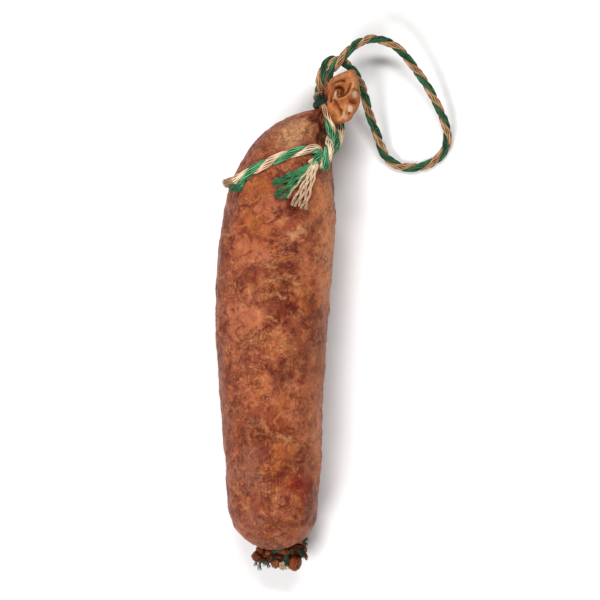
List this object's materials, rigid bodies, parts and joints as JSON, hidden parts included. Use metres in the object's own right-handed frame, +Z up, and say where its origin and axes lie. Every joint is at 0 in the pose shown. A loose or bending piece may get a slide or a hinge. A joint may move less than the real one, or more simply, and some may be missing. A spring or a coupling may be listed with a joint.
{
  "type": "garlic sausage",
  "caption": "Whole garlic sausage in natural casing, gathered and tied at both ends, with a hanging loop of two-coloured twine and one frayed tail.",
  "frame": {"origin": "on the resting surface, below the middle of the sausage with its ties and folded ends, the free twine left out", "axes": "+Y along the sausage towards its hanging end, +Z up from the resting surface, +X to the side that the hanging loop lies on"},
  "size_m": [0.107, 0.2424, 0.0503],
  "materials": {
    "casing": "satin",
    "twine": "matte",
    "green_yarn": "matte",
    "natural_yarn": "matte"
  },
  "bodies": {
    "root": {"sausage": "casing", "neck_tie": "twine", "bottom_tie": "green_yarn", "twine_loop": "twine", "tail_left": "twine", "tail_frayed": "twine", "fray_green": "green_yarn", "fray_natural": "natural_yarn"}
  },
  "joints": []
}
